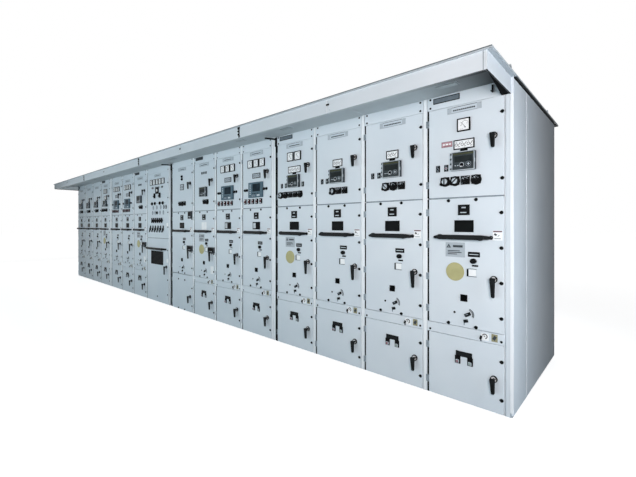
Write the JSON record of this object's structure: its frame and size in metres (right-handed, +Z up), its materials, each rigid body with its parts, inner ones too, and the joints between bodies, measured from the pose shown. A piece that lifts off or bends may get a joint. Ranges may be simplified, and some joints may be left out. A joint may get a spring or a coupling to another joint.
{
  "type": "marine switchgear",
  "caption": "Row of metal-clad marine switchgear cubicles with instrument, breaker and cable doors under a projecting front canopy.",
  "frame": {"origin": "floor level under the centre of the body, between door fronts and rear covers", "axes": "+X along the row, to the right as seen from the front; the door fronts face -Y; +Z up"},
  "size_m": [10.27, 2.147, 2.4199],
  "materials": {
    "door_paint": "satin light blue-grey powder coat",
    "panel_paint": "satin light blue-grey powder coat",
    "white_paint": "semi-gloss pale powder coat",
    "roof_sheet": "satin grey paint",
    "inner_sheet": "galvanised and painted sheet",
    "base_steel": "satin dark grey paint",
    "zinc_steel": "zinc plated",
    "lamp_cover": "opal plastic",
    "black_rubber": "matte",
    "black_plastic": "fine grained",
    "meter_case": "moulded frame with a white dial",
    "relay_case": "moulded case with a clear cover"
  },
  "bodies": {
    "carcass": {"base_frame": "base_steel", "frame_posts": "white_paint", "door_rests": "inner_sheet", "partition_walls": "inner_sheet", "compartment_liners": "inner_sheet", "rear_covers": "panel_paint", "roof_sheets": "roof_sheet", "end_walls": "panel_paint", "top_covers": "panel_paint", "switch_strips": "panel_paint", "canopy_hoods": "panel_paint", "canopy_lights": "lamp_cover", "joint_seals": "black_rubber", "joint_posts": "white_paint", "lifting_eyes": "zinc_steel", "instrument_doors": "door_paint", "instrument_door_handles": "black_plastic", "panel_meters": "meter_case", "protection_relays": "relay_case", "rotary_switches": "black_plastic"},
    "breaker_door_01": {"breaker_door_01": "door_paint"},
    "breaker_door_02": {"breaker_door_02": "door_paint"},
    "breaker_door_03": {"breaker_door_03": "door_paint"},
    "breaker_door_04": {"breaker_door_04": "door_paint"},
    "breaker_door_05": {"breaker_door_05": "door_paint"},
    "breaker_door_06": {"breaker_door_06": "door_paint"},
    "breaker_door_07": {"breaker_door_07": "door_paint"},
    "breaker_door_08": {"breaker_door_08": "door_paint"},
    "control_door_09": {"control_door_09": "door_paint"},
    "breaker_door_10": {"breaker_door_10": "door_paint"},
    "breaker_door_11": {"breaker_door_11": "door_paint"},
    "breaker_door_12": {"breaker_door_12": "door_paint"},
    "breaker_door_13": {"breaker_door_13": "door_paint"},
    "breaker_door_14": {"breaker_door_14": "door_paint"},
    "breaker_door_15": {"breaker_door_15": "door_paint"},
    "breaker_door_16": {"breaker_door_16": "door_paint"},
    "cable_door_01": {"cable_door_01": "door_paint"},
    "cable_door_02": {"cable_door_02": "door_paint"},
    "cable_door_03": {"cable_door_03": "door_paint"},
    "cable_door_04": {"cable_door_04": "door_paint"},
    "cable_door_05": {"cable_door_05": "door_paint"},
    "cable_door_06": {"cable_door_06": "door_paint"},
    "cable_door_07": {"cable_door_07": "door_paint"},
    "cable_door_08": {"cable_door_08": "door_paint"},
    "cable_door_10": {"cable_door_10": "door_paint"},
    "cable_door_11": {"cable_door_11": "door_paint"},
    "cable_door_12": {"cable_door_12": "door_paint"},
    "cable_door_13": {"cable_door_13": "door_paint"},
    "cable_door_14": {"cable_door_14": "door_paint"},
    "cable_door_15": {"cable_door_15": "door_paint"},
    "cable_door_16": {"cable_door_16": "door_paint"}
  },
  "joints": [
    {"name": "breaker_door_01_hinge", "type": "hinge", "parent": "carcass", "child": "breaker_door_01", "pos_m": [4.511, -0.75, 0.664], "axis": [0, 0, -1], "range_deg": [0, 105]},
    {"name": "breaker_door_02_hinge", "type": "hinge", "parent": "carcass", "child": "breaker_door_02", "pos_m": [3.911, -0.75, 0.664], "axis": [0, 0, -1], "range_deg": [0, 105]},
    {"name": "breaker_door_03_hinge", "type": "hinge", "parent": "carcass", "child": "breaker_door_03", "pos_m": [3.311, -0.75, 0.664], "axis": [0, 0, -1], "range_deg": [0, 105]},
    {"name": "breaker_door_04_hinge", "type": "hinge", "parent": "carcass", "child": "breaker_door_04", "pos_m": [2.711, -0.75, 0.664], "axis": [0, 0, -1], "range_deg": [0, 105]},
    {"name": "breaker_door_05_hinge", "type": "hinge", "parent": "carcass", "child": "breaker_door_05", "pos_m": [2.055, -0.75, 0.664], "axis": [0, 0, -1], "range_deg": [0, 105]},
    {"name": "breaker_door_06_hinge", "type": "hinge", "parent": "carcass", "child": "breaker_door_06", "pos_m": [1.455, -0.75, 0.664], "axis": [0, 0, -1], "range_deg": [0, 105]},
    {"name": "breaker_door_07_hinge", "type": "hinge", "parent": "carcass", "child": "breaker_door_07", "pos_m": [0.855, -0.75, 0.664], "axis": [0, 0, -1], "range_deg": [0, 105]},
    {"name": "breaker_door_08_hinge", "type": "hinge", "parent": "carcass", "child": "breaker_door_08", "pos_m": [0.155, -0.75, 0.664], "axis": [0, 0, -1], "range_deg": [0, 105]},
    {"name": "control_door_09_hinge", "type": "hinge", "parent": "carcass", "child": "control_door_09", "pos_m": [-0.812, -0.75, 0.112], "axis": [0, 0, -1], "range_deg": [0, 105]},
    {"name": "breaker_door_10_hinge", "type": "hinge", "parent": "carcass", "child": "breaker_door_10", "pos_m": [-1.412, -0.75, 0.664], "axis": [0, 0, -1], "range_deg": [0, 105]},
    {"name": "breaker_door_11_hinge", "type": "hinge", "parent": "carcass", "child": "breaker_door_11", "pos_m": [-2.012, -0.75, 0.664], "axis": [0, 0, -1], "range_deg": [0, 105]},
    {"name": "breaker_door_12_hinge", "type": "hinge", "parent": "carcass", "child": "breaker_door_12", "pos_m": [-2.612, -0.75, 0.664], "axis": [0, 0, -1], "range_deg": [0, 105]},
    {"name": "breaker_door_13_hinge", "type": "hinge", "parent": "carcass", "child": "breaker_door_13", "pos_m": [-3.299, -0.75, 0.664], "axis": [0, 0, -1], "range_deg": [0, 105]},
    {"name": "breaker_door_14_hinge", "type": "hinge", "parent": "carcass", "child": "breaker_door_14", "pos_m": [-3.899, -0.75, 0.664], "axis": [0, 0, -1], "range_deg": [0, 105]},
    {"name": "breaker_door_15_hinge", "type": "hinge", "parent": "carcass", "child": "breaker_door_15", "pos_m": [-4.499, -0.75, 0.664], "axis": [0, 0, -1], "range_deg": [0, 105]},
    {"name": "breaker_door_16_hinge", "type": "hinge", "parent": "carcass", "child": "breaker_door_16", "pos_m": [-5.099, -0.75, 0.664], "axis": [0, 0, -1], "range_deg": [0, 105]},
    {"name": "cable_door_01_hinge", "type": "hinge", "parent": "carcass", "child": "cable_door_01", "pos_m": [4.511, -0.75, 0.112], "axis": [0, 0, -1], "range_deg": [0, 105]},
    {"name": "cable_door_02_hinge", "type": "hinge", "parent": "carcass", "child": "cable_door_02", "pos_m": [3.911, -0.75, 0.112], "axis": [0, 0, -1], "range_deg": [0, 105]},
    {"name": "cable_door_03_hinge", "type": "hinge", "parent": "carcass", "child": "cable_door_03", "pos_m": [3.311, -0.75, 0.112], "axis": [0, 0, -1], "range_deg": [0, 105]},
    {"name": "cable_door_04_hinge", "type": "hinge", "parent": "carcass", "child": "cable_door_04", "pos_m": [2.711, -0.75, 0.112], "axis": [0, 0, -1], "range_deg": [0, 105]},
    {"name": "cable_door_05_hinge", "type": "hinge", "parent": "carcass", "child": "cable_door_05", "pos_m": [2.055, -0.75, 0.112], "axis": [0, 0, -1], "range_deg": [0, 105]},
    {"name": "cable_door_06_hinge", "type": "hinge", "parent": "carcass", "child": "cable_door_06", "pos_m": [1.455, -0.75, 0.112], "axis": [0, 0, -1], "range_deg": [0, 105]},
    {"name": "cable_door_07_hinge", "type": "hinge", "parent": "carcass", "child": "cable_door_07", "pos_m": [0.855, -0.75, 0.112], "axis": [0, 0, -1], "range_deg": [0, 105]},
    {"name": "cable_door_08_hinge", "type": "hinge", "parent": "carcass", "child": "cable_door_08", "pos_m": [0.155, -0.75, 0.112], "axis": [0, 0, -1], "range_deg": [0, 105]},
    {"name": "cable_door_10_hinge", "type": "hinge", "parent": "carcass", "child": "cable_door_10", "pos_m": [-1.412, -0.75, 0.112], "axis": [0, 0, -1], "range_deg": [0, 105]},
    {"name": "cable_door_11_hinge", "type": "hinge", "parent": "carcass", "child": "cable_door_11", "pos_m": [-2.012, -0.75, 0.112], "axis": [0, 0, -1], "range_deg": [0, 105]},
    {"name": "cable_door_12_hinge", "type": "hinge", "parent": "carcass", "child": "cable_door_12", "pos_m": [-2.612, -0.75, 0.112], "axis": [0, 0, -1], "range_deg": [0, 105]},
    {"name": "cable_door_13_hinge", "type": "hinge", "parent": "carcass", "child": "cable_door_13", "pos_m": [-3.299, -0.75, 0.112], "axis": [0, 0, -1], "range_deg": [0, 105]},
    {"name": "cable_door_14_hinge", "type": "hinge", "parent": "carcass", "child": "cable_door_14", "pos_m": [-3.899, -0.75, 0.112], "axis": [0, 0, -1], "range_deg": [0, 105]},
    {"name": "cable_door_15_hinge", "type": "hinge", "parent": "carcass", "child": "cable_door_15", "pos_m": [-4.499, -0.75, 0.112], "axis": [0, 0, -1], "range_deg": [0, 105]},
    {"name": "cable_door_16_hinge", "type": "hinge", "parent": "carcass", "child": "cable_door_16", "pos_m": [-5.099, -0.75, 0.112], "axis": [0, 0, -1], "range_deg": [0, 105]}
  ]
}
